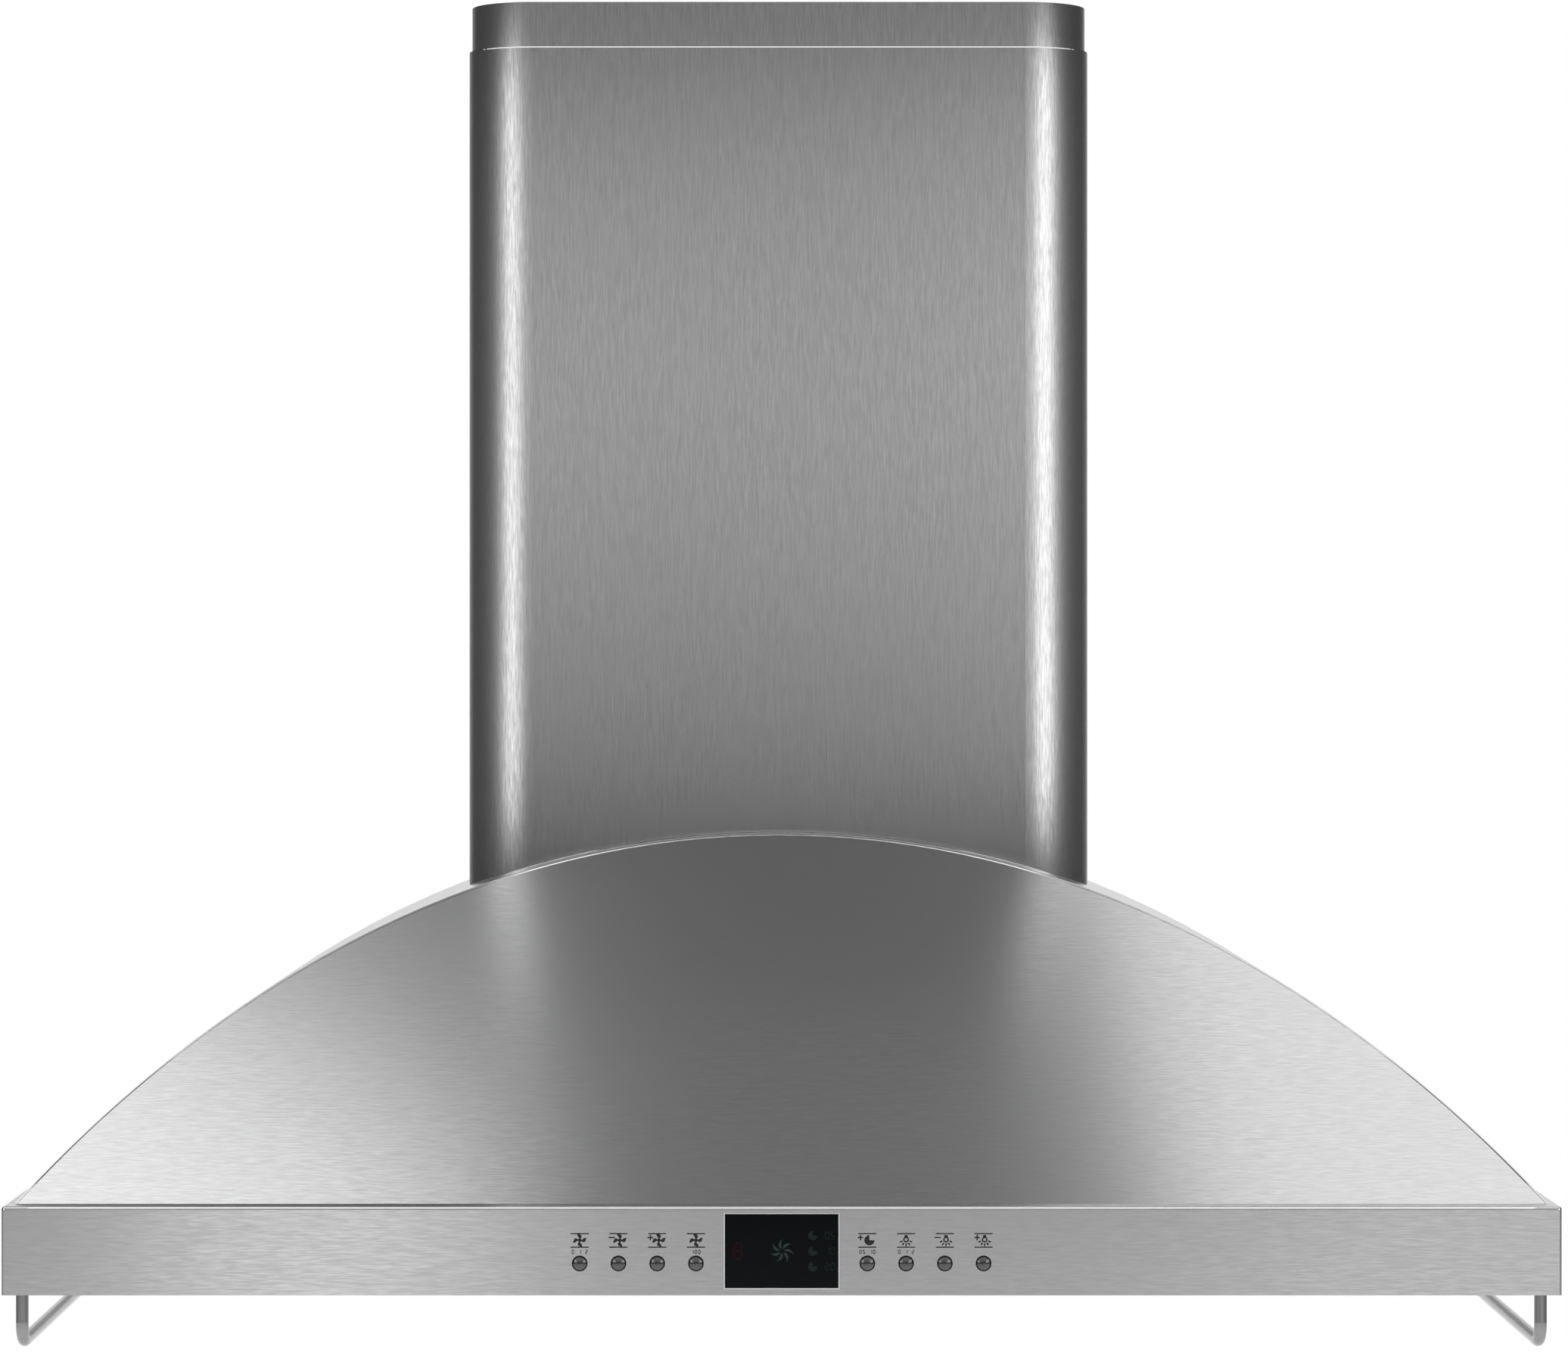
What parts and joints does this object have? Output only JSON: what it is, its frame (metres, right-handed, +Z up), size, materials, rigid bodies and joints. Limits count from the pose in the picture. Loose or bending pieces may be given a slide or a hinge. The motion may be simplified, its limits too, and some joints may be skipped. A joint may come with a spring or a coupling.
{
  "type": "wall chimney range hood",
  "caption": "Wall-mounted chimney range hood in brushed steel: arched canopy on a rectangular tray, telescoping chimney, push-button band with display, and side rails.",
  "frame": {"origin": "centre of the four wall holes, on the rear face of the back panel", "axes": "+X to the right seen from the front, +Y into the wall, +Z up"},
  "size_m": [0.9144, 0.5322, 0.8353],
  "materials": {
    "bezel_plastic": "dark ring",
    "black_plastic": "moulded",
    "bright_fastener": "zinc plated",
    "bulb_glass": "clear capsule",
    "button_plastic": "smooth dark dome",
    "canopy_steel": "satin, grain left to right",
    "capacitor_case": "drawn can",
    "chimney_steel": "satin, upright grain",
    "circuit_board": "lacquered board",
    "display_frame": "bright thin edge",
    "display_glass": "black smoked window, polished",
    "filter_steel": "folded sheet",
    "gland_plastic": "nylon",
    "impeller_metal": "pressed sheet",
    "lamp_chrome": "polished trim",
    "lamp_glass": "frosted lens",
    "lamp_reflector": "spun, bright",
    "liner_steel": "satin sheet",
    "motor_paint": "black enamel",
    "rail_steel": "fine polished rod",
    "tray_steel": "satin, grain along the band",
    "zinc_plate": "galvanised sheet"
  },
  "bodies": {
    "hood": {"arch_skin": "canopy_steel", "back_panel": "zinc_plate", "base_tray": "tray_steel", "blower_bracket_left": "zinc_plate", "blower_bracket_right": "zinc_plate", "blower_housing": "zinc_plate", "button_bezels": "bezel_plastic", "cable_gland": "gland_plastic", "chimney_foot_left": "zinc_plate", "chimney_foot_right": "zinc_plate", "control_box": "black_plastic", "cover_screws": "bright_fastener", "damper_pins": "bright_fastener", "display_frame": "display_frame", "display_module": "black_plastic", "display_window": "display_glass", "duct_collar": "zinc_plate", "filter_frame": "liner_steel", "front_panel": "canopy_steel", "inlet_plate_left": "zinc_plate", "inlet_plate_right": "zinc_plate", "junction_box": "black_plastic", "junction_box_lid": "black_plastic", "lamp_bulbs": "bulb_glass", "lamp_housing_left": "lamp_reflector", "lamp_housing_right": "lamp_reflector", "lamp_lens_left": "lamp_glass", "lamp_lens_right": "lamp_glass", "lamp_ring_left": "lamp_chrome", "lamp_ring_right": "lamp_chrome", "lower_chimney": "chimney_steel", "motor": "motor_paint", "motor_bracket": "zinc_plate", "outlet_transition": "zinc_plate", "power_board": "circuit_board", "rail_nuts": "bright_fastener", "run_capacitor": "capacitor_case", "side_rail_left": "rail_steel", "side_rail_right": "rail_steel", "switch_board": "circuit_board"},
    "upper_cover": {"upper_chimney": "chimney_steel", "chimney_bracket": "zinc_plate", "bracket_screws": "bright_fastener"},
    "blower_wheel": {"impeller_disc": "impeller_metal", "impeller_cages": "impeller_metal", "motor_shaft": "bright_fastener"},
    "flap_front": {"damper_flap_front": "zinc_plate"},
    "flap_rear": {"damper_flap_rear": "zinc_plate"},
    "filter_left": {"grease_filter_left": "filter_steel", "filter_handle_left": "rail_steel"},
    "filter_right": {"grease_filter_right": "filter_steel", "filter_handle_right": "rail_steel"},
    "fan_power_button": {"fan_power_button": "button_plastic"},
    "fan_slower_button": {"fan_slower_button": "button_plastic"},
    "fan_faster_button": {"fan_faster_button": "button_plastic"},
    "boost_button": {"boost_button": "button_plastic"},
    "timer_button": {"timer_button": "button_plastic"},
    "lamp_power_button": {"lamp_power_button": "button_plastic"},
    "lamp_dimmer_button": {"lamp_dimmer_button": "button_plastic"},
    "lamp_brighter_button": {"lamp_brighter_button": "button_plastic"}
  },
  "joints": [
    {"name": "upper_cover_slide", "type": "slide", "parent": "hood", "child": "upper_cover", "axis": [0, 0, 1], "range_m": [-0.028, 0.3]},
    {"name": "wheel_spin", "type": "hinge", "parent": "hood", "child": "blower_wheel", "pos_m": [0, -0.095, -0.005], "axis": [1, 0, 0], "continuous": true},
    {"name": "flap_front_swing", "type": "hinge", "parent": "hood", "child": "flap_front", "pos_m": [0, -0.11825, 0.195], "axis": [-1, 0, 0], "range_deg": [0, 80]},
    {"name": "flap_rear_swing", "type": "hinge", "parent": "hood", "child": "flap_rear", "pos_m": [0, -0.11025, 0.195], "axis": [1, 0, 0], "range_deg": [0, 80]},
    {"name": "filter_left_slide", "type": "slide", "parent": "hood", "child": "filter_left", "axis": [0, 1, 0], "range_m": [0, 0.01]},
    {"name": "filter_right_slide", "type": "slide", "parent": "hood", "child": "filter_right", "axis": [0, 1, 0], "range_m": [0, 0.01]},
    {"name": "fan_power_button_press", "type": "slide", "parent": "hood", "child": "fan_power_button", "axis": [0, 1, 0], "range_m": [0, 0.001], "stiffness_N_per_m": 1500, "springref_m": -0.0005},
    {"name": "fan_slower_button_press", "type": "slide", "parent": "hood", "child": "fan_slower_button", "axis": [0, 1, 0], "range_m": [0, 0.001], "stiffness_N_per_m": 1500, "springref_m": -0.0005},
    {"name": "fan_faster_button_press", "type": "slide", "parent": "hood", "child": "fan_faster_button", "axis": [0, 1, 0], "range_m": [0, 0.001], "stiffness_N_per_m": 1500, "springref_m": -0.0005},
    {"name": "boost_button_press", "type": "slide", "parent": "hood", "child": "boost_button", "axis": [0, 1, 0], "range_m": [0, 0.001], "stiffness_N_per_m": 1500, "springref_m": -0.0005},
    {"name": "timer_button_press", "type": "slide", "parent": "hood", "child": "timer_button", "axis": [0, 1, 0], "range_m": [0, 0.001], "stiffness_N_per_m": 1500, "springref_m": -0.0005},
    {"name": "lamp_power_button_press", "type": "slide", "parent": "hood", "child": "lamp_power_button", "axis": [0, 1, 0], "range_m": [0, 0.001], "stiffness_N_per_m": 1500, "springref_m": -0.0005},
    {"name": "lamp_dimmer_button_press", "type": "slide", "parent": "hood", "child": "lamp_dimmer_button", "axis": [0, 1, 0], "range_m": [0, 0.001], "stiffness_N_per_m": 1500, "springref_m": -0.0005},
    {"name": "lamp_brighter_button_press", "type": "slide", "parent": "hood", "child": "lamp_brighter_button", "axis": [0, 1, 0], "range_m": [0, 0.001], "stiffness_N_per_m": 1500, "springref_m": -0.0005}
  ]
}
